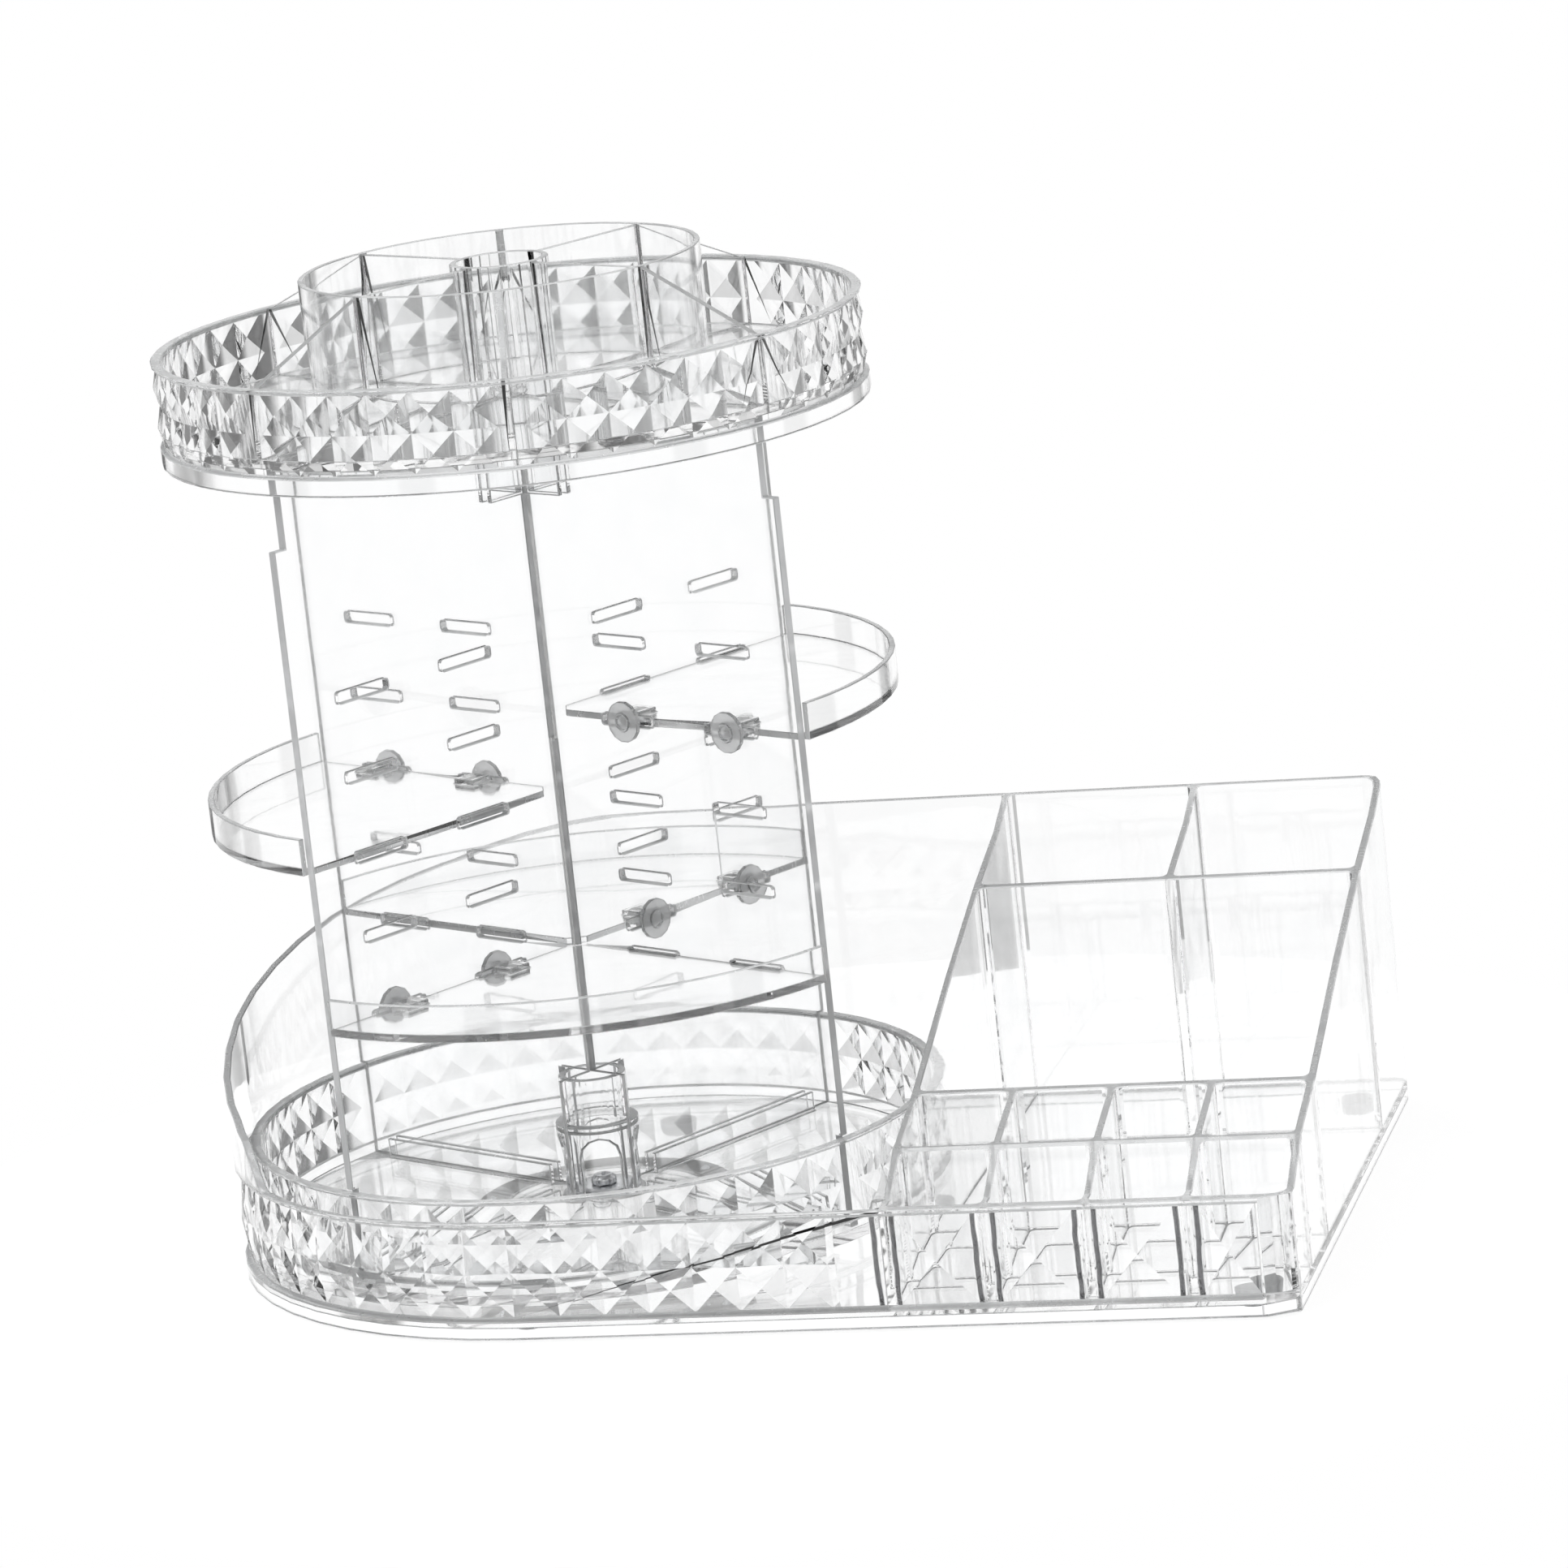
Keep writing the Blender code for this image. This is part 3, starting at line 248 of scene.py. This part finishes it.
def pressed_front(tree, place):
    """The height of the relief, and where shade is painted on it."""
    x, y, z = tree.apart(place)
    x = (x - turning_axis()) * (1.0 / MM)
    y = y * (1.0 / MM)
    z = z * (1.0 / MM)
    angle = x.maths("ARCTAN2", x, -y)
    along = x.larger(0.0) + angle.smaller(0.0) * BAND_RADIUS
    squared = x * x + y * y
    radius = squared.maths("SQRT", squared)
    outward = (-y).larger(radius * x.is_under(0.0))
    front = tree.between(outward, BAND_OUTSIDE, BAND_OUTSIDE + SOFT) * y.is_under(0.0)
    under_rim = 1.0 - tree.between(z, BAND_HIGH - SOFT, BAND_HIGH)
    band = front * tree.between(z, BAND_LOW, BAND_LOW + SOFT) * under_rim
    across = along.zigzag(FACET / 2.0)
    up = (z - BAND_LOW).zigzag(FACET / 2.0)
    beside_well = along.is_under(RIB_PLACE - RIB_PITCH / 2.0)
    before_corner = along.is_under(RIB_PLACE + (RIB_COUNT - 0.5) * RIB_PITCH)
    facets = across.smaller(up) * FACET_SLOPE * beside_well
    wander = (tree.noise(place, WANDER_SCALE) - 0.5) * RIB_WANDER
    from_rib = (along + wander - RIB_PLACE).zigzag(RIB_PITCH / 2.0)
    rib = 1.0 - tree.between(from_rib, RIB_HALF - RIB_SHOULDER, RIB_HALF)
    rib = rib * (1.0 - beside_well) * before_corner
    shoulder_shade = (rib * (1.0 - rib) * SHADE_GAIN).clipped()
    return (facets * (1.0 - rib) + rib * RIB_RISE) * band * MM, shoulder_shade * band


# %% [markdown]
# ## Clear plastic
# Clear styrene bends light as glass does, so its shader is a Principled BSDF with transmission and the
# plastic's own index of refraction. What makes it a real moulding and not a perfect crystal is small:
# slow flow waves that the melt leaves in the walls, a faint haze where it was handled, and fine
# scratches. Noise of three sizes on Object coordinates gives these. Rims and cut edges get a second
# finish that is less clear and less smooth. They scatter the light that runs along inside a wall, and
# that is why they show as soft grey lines and not as black ones. That finish's colour is greyer as
# well, which paints shade along the rims and edges. The base's rib shoulders get painted shade too.

# %% Make the clear plastic finishes
STYRENE = 1.57          # index of refraction of the mouldings
ACRYLIC = 1.49          # and of the sheets
FLOW_SCALE = 26.0
HANDLED_SCALE = 70.0
SCRATCH_SCALE = (260.0, 1900.0, 420.0)
SCRATCH_DEPTH = 0.004
SCRATCH_ROUGHNESS = 0.05
MOULDING_WAVES = 0.00012
SHEET_WAVES = 0.00003
BUCKLE_WAVES = 0.00005
# Painted shade for the rib shoulders of the base: a near-black grey put into their colour.
SHOULDER_PAINTED_SHADE = (0.03, 0.03, 0.032)
CLEAR_LIGHT = (0.998, 0.999, 1.0)
CLEAR_DARK = (0.985, 0.989, 0.991)
# The rim colours are greyer than the clear plastic: painted shade along rims and cut edges.
RIM_PAINTED_SHADE_LIGHT = (0.9, 0.91, 0.915)
RIM_PAINTED_SHADE_DARK = (0.8, 0.81, 0.815)
BUCKLE_LIGHT = (0.93, 0.935, 0.94)
BUCKLE_DARK = (0.82, 0.825, 0.83)


def clear_plastic(name, light, dark, waves, haze, index, gloss=0.012, clear=1.0, relief=None):
    material = bpy.data.materials.new(name)
    tree = Tree(material)
    place = tree.add("ShaderNodeTexCoord", None, None, "Object")
    flow = tree.noise(place, FLOW_SCALE)
    handled = tree.noise(place, HANDLED_SCALE, 4.0, 0.6)
    scratches = tree.noise(tree.stretched(place, SCRATCH_SCALE), 1.0)
    marks = tree.between(scratches, 0.6, 0.75)
    cloud = tree.between(handled, 0.42, 0.72)
    normal = tree.bump(flow + marks * SCRATCH_DEPTH, waves)
    colour = tree.tint(cloud, light, dark)
    if relief:
        height, shade = relief(tree, place)
        normal = tree.bump(height, 1.0, onto=normal)
        # Painted shade: the colour turns near-black where the relief function marks the rib shoulders.
        colour = tree.tint(shade, colour, SHOULDER_PAINTED_SHADE)
    inputs = {
        "Base Color": colour,
        "Roughness": cloud * haze + marks * SCRATCH_ROUGHNESS + gloss,
        "IOR": index,
        "Transmission Weight": clear,
        "Normal": normal,
    }
    shader = tree.add("ShaderNodeBsdfPrincipled", None, inputs)
    tree.end(shader)
    return material


moulded = clear_plastic("clear_moulding", CLEAR_LIGHT, CLEAR_DARK, MOULDING_WAVES, 0.03, STYRENE)
base_wall = clear_plastic(
    "clear_base", CLEAR_LIGHT, CLEAR_DARK, MOULDING_WAVES, 0.03, STYRENE, relief=pressed_front
)
moulded_edge = clear_plastic("moulding_edge", RIM_PAINTED_SHADE_LIGHT, RIM_PAINTED_SHADE_DARK, MOULDING_WAVES, 0.1, STYRENE, 0.25, 0.5)
sheet = clear_plastic("clear_sheet", CLEAR_LIGHT, CLEAR_DARK, SHEET_WAVES, 0.02, ACRYLIC)
sheet_edge = clear_plastic("sheet_edge", RIM_PAINTED_SHADE_LIGHT, RIM_PAINTED_SHADE_DARK, SHEET_WAVES, 0.15, ACRYLIC, 0.3, 0.45)
button = clear_plastic("clear_buckle", BUCKLE_LIGHT, BUCKLE_DARK, BUCKLE_WAVES, 0.1, STYRENE, 0.15, 0.6)
button_edge = clear_plastic("buckle_edge", RIM_PAINTED_SHADE_LIGHT, RIM_PAINTED_SHADE_DARK, BUCKLE_WAVES, 0.15, STYRENE, 0.2, 0.8)
print("plastic finishes:", [material.name for material in bpy.data.materials])

# %% [markdown]
# ## Rubber, steel and the white cage
# Under the clear base there are soft grey feet, and in its bearing steel balls in a white cage, a washer
# and a screw. Rubber is matt with a fine grain. Turned steel has fine rings round its own axis, which a
# wave on the distance from that axis gives. The cage is plain moulded plastic with a slight mottle.


# %% Make the other finishes
def matt_finish(name, light, dark, roughness, grain, depth):
    material = bpy.data.materials.new(name)
    tree = Tree(material)
    place = tree.add("ShaderNodeTexCoord", None, None, "Object")
    mottle = tree.noise(place, grain * 0.2, 3.0)
    fine = tree.noise(place, grain)
    inputs = {
        "Base Color": tree.tint(mottle, light, dark),
        "Roughness": mottle * 0.2 + roughness,
        "Normal": tree.bump(fine, depth),
    }
    shader = tree.add("ShaderNodeBsdfPrincipled", None, inputs)
    tree.end(shader)
    return material


def turned_steel(name, ring_spacing):
    material = bpy.data.materials.new(name)
    tree = Tree(material)
    place = tree.add("ShaderNodeTexCoord", None, None, "Object")
    centred = tree.add("ShaderNodeMapping", None, {"Vector": place, "Location": (-turning_axis(), 0.0, 0.0)})
    flat = tree.add("ShaderNodeVectorMath", {"operation": "MULTIPLY"}, {0: centred, 1: (1.0, 1.0, 0.0)})
    radius = tree.add("ShaderNodeVectorMath", {"operation": "LENGTH"}, {0: flat}, "Value")
    rings = (radius * (math.tau / ring_spacing)).cosine()
    stains = tree.noise(place, 400.0, 3.0)
    inputs = {
        "Base Color": tree.tint(stains, (0.78, 0.79, 0.8), (0.6, 0.61, 0.63)),
        "Roughness": stains * 0.15 + 0.16,
        "Metallic": 1.0,
        "Normal": tree.bump(rings, 0.00001, 0.4),
    }
    shader = tree.add("ShaderNodeBsdfPrincipled", None, inputs)
    tree.end(shader)
    return material


rubber = matt_finish("grey_rubber", (0.3, 0.31, 0.32), (0.22, 0.23, 0.24), 0.6, 3000.0, 0.00003)
cage_white = matt_finish("white_cage", (0.88, 0.88, 0.87), (0.8, 0.8, 0.79), 0.32, 1500.0, 0.00001)
steel = turned_steel("turned_steel", 0.0004)

# %% [markdown]
# ## Finer edges on the clear pieces
# No moulded edge is knife-sharp, and on clear plastic its small round is all that shows: it gathers
# light from everywhere and reads as a thin grey line. Each CAD node is copied, its loose triangles are
# merged into clean faces, and a Bevel modifier rounds the sharp edges by a fraction of a millimetre.
# The rounds get the edge finish, whose greyer colour paints shade along them, and so do the rims, which are
# faces no wider than a thick wall. Twice the area over the outline is a face's width. The diamonds stay
# flat, because smooth shading stops at a small angle.

# %% Dress the CAD nodes
RIM_WIDTH = 3.6
SIDE_OUTLINE = 40.0     # a sheet's sides are longer round than this, small bosses are not
LEVEL = 0.9             # a face whose normal has more z than this lies flat
SLOPING = 0.3           # and one with more than this slopes
MERGE_DISTANCE = 0.004
FLAT_ANGLE = math.radians(0.3)
SHARP_ANGLE = math.radians(32.0)


def select_only(thing):
    bpy.ops.object.select_all(action="DESELECT")
    thing.select_set(True)
    bpy.context.view_layer.objects.active = thing


def finish_rims(mesh, sides_too):
    """Gives the second finish to narrow faces that look up or down, and to the narrow sides of a sheet."""
    for face in mesh.polygons:
        corners = [mesh.vertices[number].co for number in face.vertices]
        outline = sum((a - b).length for a, b in zip(corners, corners[1:] + corners[:1]))
        narrow = 2.0 * face.area / outline < RIM_WIDTH * MM
        upward = abs(face.normal.z)
        side = sides_too and outline > SIDE_OUTLINE * MM
        if narrow and (upward > LEVEL or len(corners) > 3 and (upward > SLOPING or side)):
            face.material_index = 1


def dress(node, name, finish, edge_finish, round_mm, steps=1, smooth=11.0, sides_too=False):
    original = frame["nodes"][node]
    piece = bpy.data.objects.new(name, original.data.copy())
    bpy.context.collection.objects.link(piece)
    select_only(piece)
    bpy.ops.mesh.customdata_custom_splitnormals_clear()
    bpy.ops.object.mode_set(mode="EDIT")
    bpy.ops.mesh.select_all(action="SELECT")
    bpy.ops.mesh.remove_doubles(threshold=MERGE_DISTANCE * MM)
    bpy.ops.mesh.dissolve_limited(angle_limit=FLAT_ANGLE)
    bpy.ops.object.mode_set(mode="OBJECT")
    piece.data.materials.clear()
    piece.data.materials.append(finish)
    piece.data.materials.append(edge_finish)
    finish_rims(piece.data, sides_too)
    bpy.ops.object.modifier_add(type="BEVEL")
    edge = piece.modifiers[-1]
    edge.width = round_mm * MM
    edge.segments = steps
    edge.limit_method = "ANGLE"
    edge.angle_limit = SHARP_ANGLE
    edge.use_clamp_overlap = False
    edge.material = 1
    bpy.ops.object.modifier_apply(modifier=edge.name)
    bpy.ops.object.shade_smooth_by_angle(angle=math.radians(smooth))
    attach(piece, original["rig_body"])
    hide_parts(node)
    print(name, len(piece.data.polygons), "faces")


dress("base_tray", "base_moulding", base_wall, moulded_edge, 0.35)
dress("rotating_tray", "rotating_moulding", moulded, moulded_edge, 0.3)
dress("top_tray", "top_moulding", moulded, moulded_edge, 0.3)
for panel in ("panel_a", "panel_b"):
    dress(panel, panel + "_sheet", sheet, sheet_edge, 0.3, sides_too=True)
for side in ("right", "left", "front", "back"):
    shelf = "shelf_" + side
    dress(shelf, shelf + "_moulding", moulded, moulded_edge, 0.3, sides_too=True)
    for spot in ("inner", "outer"):
        buckle = shelf + "_buckle_" + spot
        dress(buckle, buckle + "_moulding", button, button_edge, 0.2)

# %% [markdown]
# ## The bearing and the feet
# These pieces are seen only through the clear plastic. The screw, the washer, the cage and the feet get a
# small round on their edges. The balls are true spheres on the real object, so each is modelled new and
# fine, in the place and size of its CAD node.

# %% Dress the small parts
FOOT_COUNT = 6
BALL_COUNT = 8

dress("centre_screw", "screw", steel, steel, 0.15, 2, 30.0)
dress("thrust_washer", "washer", steel, steel, 0.15, 2, 30.0)
dress("bearing_cage", "ball_cage", cage_white, cage_white, 0.15, 1, 30.0)
for number in range(1, FOOT_COUNT + 1):
    dress("foot_%d" % number, "foot_pad_%d" % number, rubber, rubber, 0.5, 3, 30.0)

for number in range(1, BALL_COUNT + 1):
    node = "ball_%d" % number
    low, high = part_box(node)
    bpy.ops.object.select_all(action="DESELECT")
    bpy.ops.mesh.primitive_uv_sphere_add(
        segments=24, ring_count=16, radius=(high.z - low.z) / 2.0, location=(low + high) / 2.0
    )
    ball = bpy.context.active_object
    ball.name = "steel_ball_%d" % number
    bpy.ops.object.transform_apply(location=True, rotation=True, scale=True)
    bpy.ops.object.shade_smooth()
    ball.data.materials.append(steel)
    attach(ball, frame["nodes"][node]["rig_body"])
    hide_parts(node)

# %% [markdown]
# ## Floor and light
# Clear plastic has no colour of its own: it shows what stands round it. A studio lights it with white
# cloth on all sides and leaves dark gaps between the cloths, so that walls seen straight through stay
# white, and edges and facets, which bend light sideways and up, turn grey or dark. The world here is
# that ring of cloths, with a dimmer belt at eye level and a greyer ceiling. Light Path shows plain white
# to the camera itself. The floor glows white too where it is seen directly or through a wall. A quarter
# of what the camera itself sees of it stays plain paper, so that it keeps the object's shadow.

# %% Build the world
GAP_COUNT = 8
GAP_PLACE = math.radians(27.0)
GAP_EDGE = (0.55, 0.8)
GAP_DEPTH = 0.85
BELT_START = (-0.12, -0.07)
BELT_END = (0.04, 0.1)
BELT_DEPTH = 0.3
CEILING_START = (0.3, 0.7)
CEILING_DEPTH = 0.3

world = bpy.data.worlds.new("cloth_tent")
bpy.context.scene.world = world
tent = Tree(world)
paths = tent.add("ShaderNodeLightPath")
towards = tent.add("ShaderNodeTexCoord", None, None, "Generated")
east, north, height = tent.apart(towards)
around = east.maths("ARCTAN2", north, east)
gaps = tent.between((around * GAP_COUNT - GAP_PLACE * GAP_COUNT).cosine(), *GAP_EDGE)
belt = tent.between(height, *BELT_START) - tent.between(height, *BELT_END)
ceiling = tent.between(height, *CEILING_START)
lit = (1.0 - belt * BELT_DEPTH - ceiling * CEILING_DEPTH) * (1.0 - gaps * GAP_DEPTH)
white_to_camera = paths.out("Is Camera Ray")
strength = white_to_camera + lit * (1.0 - white_to_camera)
background = tent.add("ShaderNodeBackground", None, {"Color": (1.0, 1.0, 1.0, 1.0), "Strength": strength})
tent.end(background, "ShaderNodeOutputWorld")

# %% Lay the floor
FLOOR_RADIUS = 0.33
PAPER = (0.93, 0.93, 0.93, 1.0)
GLOW = 1.06
CAMERA_GLOW = 0.12      # more glow for the camera, which also sees the darker paper
CAMERA_SHARE = 0.75

bpy.ops.object.select_all(action="DESELECT")
bpy.ops.mesh.primitive_circle_add(vertices=96, radius=FLOOR_RADIUS, fill_type="NGON")
floor = bpy.context.active_object
floor.name = "floor"
paper = bpy.data.materials.new("white_paper")
floor.data.materials.append(paper)
page = Tree(paper)
rays = page.add("ShaderNodeLightPath")
plain = page.add("ShaderNodeBsdfDiffuse", None, {"Color": PAPER})
glow = page.add("ShaderNodeEmission", None, {"Strength": rays.out("Is Camera Ray") * CAMERA_GLOW + GLOW})
through = rays.out("Is Transmission Ray") + rays.out("Is Glossy Ray")
share = (rays.out("Is Camera Ray") * CAMERA_SHARE + through).clipped()
paper_shader = page.add("ShaderNodeMixShader", None, {0: share, 1: plain, 2: glow})
page.end(paper_shader)

# %% Hang one soft lamp
LAMP_PLACE = (-0.7, -0.9, 1.5)
LAMP_AIM = Vector((0.0, 0.0, 0.12))
LAMP_SIZE = 1.2
LAMP_POWER = 6.0

bpy.ops.object.light_add(type="AREA", location=LAMP_PLACE)
lamp = bpy.context.active_object
lamp.data.shape = "DISK"
lamp.data.size = LAMP_SIZE
lamp.data.energy = LAMP_POWER
lamp.rotation_euler = (LAMP_AIM - lamp.location).to_track_quat("-Z", "Y").to_euler()

# %% [markdown]
# ## Enough bounces
# Inside a clear wall light bounces from face to face before it gets out. Each of these is a glossy bounce,
# and the usual four would leave every floor and edge that is seen end-on black.

# %% Let light through many walls
BOUNCES = 32

for kind in ("max_bounces", "transmission_bounces", "glossy_bounces"):
    setattr(bpy.context.scene.cycles, kind, BOUNCES)
print("bounces:", BOUNCES)
